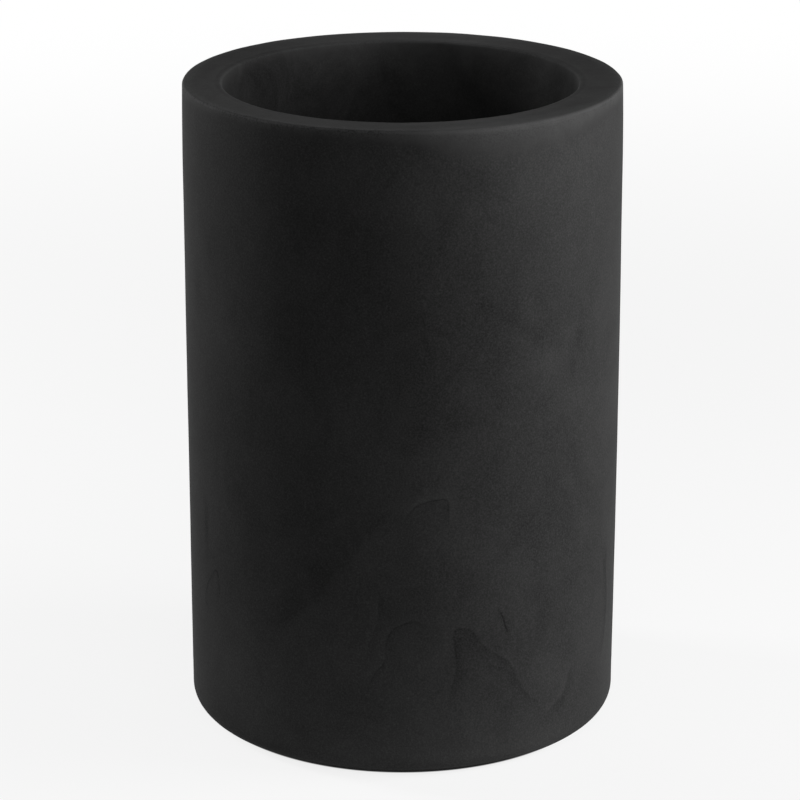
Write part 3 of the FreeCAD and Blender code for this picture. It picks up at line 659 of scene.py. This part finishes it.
def makeLiner():
    radius, top, seam = form["radius"], form["rimTop"], form["seam"]
    well = radius - form["rimWidth"]
    edge, lip, corner, wall = form["rimEdgeRound"], form["lipRound"], form["cornerRound"], form["linerWall"]
    floor, sump = form["plantingFloor"], form["sumpLevel"]
    mouth, sumpFloor, hole = form["sumpMouth"], form["sumpFloor"], form["drainHole"]
    under = form["underBrimRound"]
    outside = well + wall
    profile = [(radius, seam)] + arc(radius - edge, top - edge, edge, 0, 90, 8)
    profile += run((radius - edge - 3 * mm, top), (well + lip, top), form["lipSpacing"])
    profile += arc(well + lip, top - lip, lip, 90, 180, 7)
    profile += run((well, top - lip - 4 * mm), (well, floor + corner), form["wellSpacing"])
    profile += arc(well - corner, floor + corner, corner, 0, -90, 10)
    profile += run((well - corner - 8 * mm, floor), (mouth + 3 * mm, floor), form["wellSpacing"])
    profile += [(mouth + 1 * mm, floor - 0.2 * mm), (mouth, floor - 1 * mm)]
    profile += [(sumpFloor + 1 * mm, sump + 0.8 * mm), (sumpFloor - 1 * mm, sump)]
    profile += [(38 * mm, sump), (hole, sump)]
    profile += [(hole, sump - wall), (sumpFloor + 1 * mm, sump - wall), (mouth + 1 * mm, floor - wall)]
    profile += run((mouth + 8 * mm, floor - wall), (well - corner, floor - wall), 40 * mm)
    profile += arc(well - corner, floor + corner, corner + wall, -90, 0, 6)
    profile += run((outside, floor + corner + 30 * mm), (outside, seam - under), form["hiddenSpacing"])
    profile += arc(outside + under, seam - under, under, 180, 90, 4)
    profile += run((outside + under + 6 * mm, seam), (radius, seam), 8 * mm)
    piece = turnedPiece("linerWithBrim", profile, form["segments"])
    layUp(piece)
    markPatches(piece, brimPatches)
    return piece


shellLook = {"gloss": 0.045, "grain": 0.78, "clouds": 0.42}
linerLook = {"gloss": 0.035, "grain": 0.45, "clouds": 0.75}
outerEdge = (form["radius"] - laying["neck"], form["rimTop"] - 1 * mm, 0, 0.75, 0)
innerEdge = (form["radius"] - form["rimWidth"], form["rimTop"] - laying["brimDip"],
             laying["wellAside"], 0.38, 0.2)  # radius, height, how far aside, how worn and painted pale, how much painted shade beside it
shellFinish = charcoalLaminate("charcoalShell", shellLook["gloss"], shellLook["grain"], shellLook["clouds"],
                               frontLayers, [outerEdge])
linerFinish = charcoalLaminate("charcoalLiner", linerLook["gloss"], linerLook["grain"], linerLook["clouds"],
                               0, [outerEdge, innerEdge])
settle(makeOuterShell(), "planter", "charcoal_shell", shellFinish, "outer_shell")
settle(makeLiner(), "planter", "charcoal_liner", linerFinish, "liner_shell")


pad = {
    "segments": 72, "edge": 13 * mm, "edgeRound": 1 * mm, "thickness": 2.5 * mm,
    "stem": 4 * mm, "stemTop": 6.5 * mm, "barb": 6 * mm, "barbTip": 2.5 * mm,
    "grooves": (4 * mm, 7 * mm, 10 * mm), "grooveWidth": 0.8 * mm, "grooveDepth": 0.5 * mm,
}


def makeFootPad():  # standing on the axis, its sole grooved
    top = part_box("foot_pad_1")[1].z
    profile = [(0, 0)]
    for groove in pad["grooves"]:
        half, deep = pad["grooveWidth"] / 2, pad["grooveDepth"]
        profile += [(groove - half, 0), (groove - half * 0.6, deep)]
        profile += [(groove + half * 0.6, deep), (groove + half, 0)]
    profile += arc(pad["edge"] - pad["edgeRound"], pad["edgeRound"], pad["edgeRound"], -90, 0, 6)
    profile += arc(pad["edge"] - 0.3 * mm, pad["thickness"] - 0.3 * mm, 0.3 * mm, 0, 90, 3)
    profile += [(pad["stem"] + 0.4 * mm, pad["thickness"]), (pad["stem"], pad["thickness"] + 0.4 * mm)]
    profile += [(pad["stem"], pad["stemTop"]), (pad["barb"] - 0.2 * mm, pad["stemTop"])]
    profile += [(pad["barb"], pad["stemTop"] + 0.3 * mm), (pad["barbTip"] + 0.3 * mm, top - 0.2 * mm)]
    profile += [(pad["barbTip"] - 0.3 * mm, top), (0, top)]
    return turnedPiece("footPad", profile, pad["segments"])


def setFootPads():
    rubberFinish = rubber("padRubber", 0.02)
    first = makeFootPad()
    for number in range(1, 5):
        copy = first.copy()
        copy.data = first.data.copy()
        bpy.context.scene.collection.objects.link(copy)
        copy.name = copy.data.name = f"footPad{number}"
        low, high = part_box(f"foot_pad_{number}")
        middle = [(low.x + high.x) / 2, (low.y + high.y) / 2, 0]
        movePlaces(copy, placesOf(copy) + middle)
        settle(copy, "planter", "pad_rubber", rubberFinish, f"foot_pad_{number}")
    bpy.data.objects.remove(first)


base = {
    "flangeInner": 178 * mm, "riserTop": 172 * mm, "wall": 4 * mm, "recess": 18 * mm,
    "ringSpacing": 3.4 * mm, "segments": 256,
    "lumps": 0.45 * mm, "lumpSpread": 26,
    "strandRelief": 0.16 * mm, "strandSpread": 40, "strandStretch": 9,
    "turn": 3, "turnSpread": 9,  # how far the strands swing, in radians, and how often a metre
    "washerEdge": 34 * mm, "trueEdge": 2 * mm, "fade": 10 * mm,  # where the underside stays true
}


def makeBasePanel():  # its laid-up underside is rougher than the moulded walls
    low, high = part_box("base_panel")
    bottom, top, edge = low.z, high.z, high.x
    wall, recess = base["wall"], bottom + base["recess"]
    flange, riser, hole = base["flangeInner"], base["riserTop"], form["drainHole"]
    profile = run((hole, recess), (riser - 3 * mm, recess), base["ringSpacing"])
    profile += [(riser - 3 * mm, recess), (riser - 1 * mm, recess - 0.6 * mm)]
    profile += [(riser + 0.3 * mm, recess - 2.5 * mm)]
    profile += run((riser + 0.9 * mm, recess - 5 * mm), (flange, bottom), base["ringSpacing"])
    profile += run((flange, bottom), (edge, bottom), 5 * mm)
    profile += [(edge, bottom), (edge, bottom + wall), (flange + wall + 3 * mm, bottom + wall)]
    profile += [(flange + wall, bottom + wall + 3 * mm), (riser + wall, top - 4 * mm)]
    profile += [(riser + wall - 3 * mm, top)]
    profile += run((riser + wall - 8 * mm, top), (hole, top), 14 * mm) + [(hole, top)]
    piece = turnedPiece("basePanel", profile, base["segments"])
    places = placesOf(piece)
    for i, (x, y, z) in enumerate(places):
        spot = Vector((x, y, z))
        turn = noise.noise(spot * base["turnSpread"]) * base["turn"]
        across = (y * cos(turn) - x * sin(turn)) * base["strandStretch"]
        along = Vector((x * cos(turn) + y * sin(turn), across, z))
        lump = base["lumps"] * noise.noise(spot * base["lumpSpread"])
        lump += base["strandRelief"] * noise.noise(along * base["strandSpread"])
        radius = np.hypot(x, y)
        if z < recess + 0.1 * mm:
            room = min(radius - base["washerEdge"], flange - base["trueEdge"] - radius)
            places[i, 2] += lump * np.clip(room / base["fade"], 0, 1)
    movePlaces(piece, places)
    return piece


outlet = {
    "segments": 128, "tube": 19 * mm, "bore": 12.7 * mm, "flange": 38 * mm, "flangeDepth": 3 * mm,
    "seatMouth": 16.5 * mm, "seatEnd": 14.6 * mm, "pocketDepth": 3 * mm, "chamfer": 1 * mm,
    "ringGroove": 29 * mm, "grooveDepth": 0.6 * mm,
    "threadPitch": 2 * mm, "threadDepth": 0.7 * mm, "threadSpacing": 0.25 * mm,
    "threadFlank": 1.5, "threadRoot": 0.2,  # how steep the thread's sides are, and how wide its root
}


def makeDrainBody():  # flanged outlet, its tail threaded for the nut
    low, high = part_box("drain_body")
    bottom, top = low.z, high.z
    under = top - outlet["flangeDepth"]
    tube, flange, chamfer = outlet["tube"], outlet["flange"], outlet["chamfer"]
    groove, deep = outlet["ringGroove"], outlet["grooveDepth"]
    profile = [(outlet["seatMouth"], top), (groove - 1 * mm, top), (groove - 0.5 * mm, top - deep)]
    profile += [(groove + 0.5 * mm, top - deep), (groove + 1 * mm, top), (flange - chamfer, top)]
    profile += [(flange, top - chamfer), (flange, under), (tube, under)]
    profile += run((tube, under - 4 * mm), (tube, bottom + chamfer), outlet["threadSpacing"])
    profile += [(tube, bottom + chamfer), (tube - chamfer, bottom), (outlet["bore"], bottom)]
    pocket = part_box("drain_screen")[0].z
    profile += [(outlet["bore"], pocket), (outlet["seatEnd"], pocket)]
    profile += [(outlet["seatEnd"], pocket + outlet["pocketDepth"])]
    piece = turnedPiece("drainBody", profile, outlet["segments"])
    places = placesOf(piece)
    radii = np.hypot(places[:, 0], places[:, 1])
    turn = np.arctan2(places[:, 1], places[:, 0]) / (2 * pi)
    wave = abs(((places[:, 2] / outlet["threadPitch"] - turn) % 1) - 0.5) * 2  # 0 in the root, 1 on the crest
    threaded = (radii > tube - 0.1 * mm) & (places[:, 2] < under - 3 * mm)
    raised = np.clip(wave * outlet["threadFlank"] - outlet["threadRoot"], 0, 1)
    depth = outlet["threadDepth"] * (1 - raised) * threaded
    places[:, :2] *= ((radii - depth) / radii)[:, None]
    movePlaces(piece, places)
    return piece


setFootPads()
settle(makeBasePanel(), "planter", "bare_laminate", bareLaminate(), "base_panel")
blackPlastic = mouldedPlastic("outletPlastic", 0.02)
settle(makeDrainBody(), "planter", "outlet_plastic", blackPlastic, "drain_body")
plywoodFinish = plywood()
dressing = {
    "rim_core": plywoodFinish,
    "floor_core": plywoodFinish,
    "drain_nut": blackPlastic,
    "drain_washer": mouldedPlastic("washerPlastic", 0.42, 0.03),
    "drain_screen": strainerSteel(),
    "drain_gasket": rubber("sealRubber", 0.018),
    "drain_plug": rubber("plugRubber", 0.022),
}
for nodeName, material in dressing.items():
    paint(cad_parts[nodeName], material)
print("CAD pieces dressed")


view = {  # the photograph's camera: metres, degrees and millimetres of lens
    "place": (0, -3.71829, 1.6244), "down": 18.583, "aside": 0.0427, "lens": 148.84, "sensor": 36,
}
lamps = {  # degrees round from the camera's side and up, metres away, width and height, watts
    "sideBox": (84, 13, 2.6, 1.2, 1.4, 58),
    "shoulderBox": (58, 30, 2.6, 0.9, 0.9, 8),
    "strip": (-112, 23, 2.5, 0.5, 1.0, 31),
    "frontTop": (12, 54, 2.6, 1.2, 1.2, 8),
}
studio = {
    "aim": 0.4,  # the height that the lamps point at
    "fill": 0.02,
    "floorSize": 12, "paper": 0.88, "dark": 0.01,
    "shadowFrom": 234.5 * mm, "shadowTo": 238 * mm,  # painted shadow: the floor's colour is painted dark deep under the foot
    "whiteShare": 0.85, "whiteFrom": 1, "whiteTo": 4,  # the floor turns white away from the planter
}


def addCamera():
    camera = bpy.data.objects.new("camera", bpy.data.cameras.new("camera"))
    bpy.context.scene.collection.objects.link(camera)
    camera.data.lens, camera.data.sensor_width = view["lens"], view["sensor"]
    camera.location = view["place"]
    camera.rotation_euler = (radians(90 - view["down"]), 0, radians(view["aside"]))
    bpy.context.scene.camera = camera


def addLamps():
    target = Vector((0, 0, studio["aim"]))
    for name, (roundFrom, up, away, width, height, watts) in lamps.items():
        lamp = bpy.data.objects.new(name, bpy.data.lights.new(name, "AREA"))
        bpy.context.scene.collection.objects.link(lamp)
        lamp.data.shape, lamp.data.size, lamp.data.size_y = "RECTANGLE", width, height
        lamp.data.energy = watts
        turn, rise = radians(roundFrom), radians(up)
        lamp.location = target + Vector((sin(turn) * cos(rise), -cos(turn) * cos(rise), sin(rise))) * away
        lamp.rotation_euler = (target - lamp.location).to_track_quat("-Z", "Y").to_euler()


def seenDirectly(nodes):  # 1 for camera, glossy and transmission rays
    kinds = ("Is Camera Ray", "Is Glossy Ray", "Is Transmission Ray")
    camera, glossy, transmission = [nodes.node("LightPath", {}, {}, kind) for kind in kinds]
    return camera.atLeast(glossy).atLeast(transmission)


def addWorld():
    world = bpy.data.worlds.new("studioRoom")
    bpy.context.scene.world = world
    nodes = Nodes(world)
    seen = seenDirectly(nodes)
    colour = nodes.blend(grey(studio["fill"]), grey(1.0), seen)
    background = nodes.node("Background", {}, {"Color": colour, "Strength": 1.0})
    nodes.node("OutputWorld", {}, {"Surface": background})


def addFloor():
    deselect()
    bpy.ops.mesh.primitive_plane_add(size=studio["floorSize"])
    floor = bpy.context.object
    floor.name = "studioFloor"
    nodes = newFinish("palePaper")
    x, y = nodes.parts(nodes.place())[:2]
    away = (x * x + y * y) ** 0.5
    lit = away.step(studio["shadowFrom"], studio["shadowTo"])
    share = lit * away.step(studio["whiteFrom"], studio["whiteTo"], studio["whiteShare"], 1)
    # painted shadow: the paper turns dark under the foot
    paper = nodes.blend(grey(studio["dark"]), grey(studio["paper"]), lit)
    matte = nodes.node("BsdfDiffuse", {}, {"Color": paper})
    white = nodes.node("Emission", {}, {"Color": grey(1.0), "Strength": 1.0})
    mixed = nodes.node("MixShader", {}, {0: seenDirectly(nodes) * share, 1: matte, 2: white})
    nodes.node("OutputMaterial", {}, {"Surface": mixed})
    paint(floor, nodes.owner)


addCamera()
addLamps()
addWorld()
addFloor()
bpy.context.scene.view_settings.view_transform = "Standard"
print("studio set")
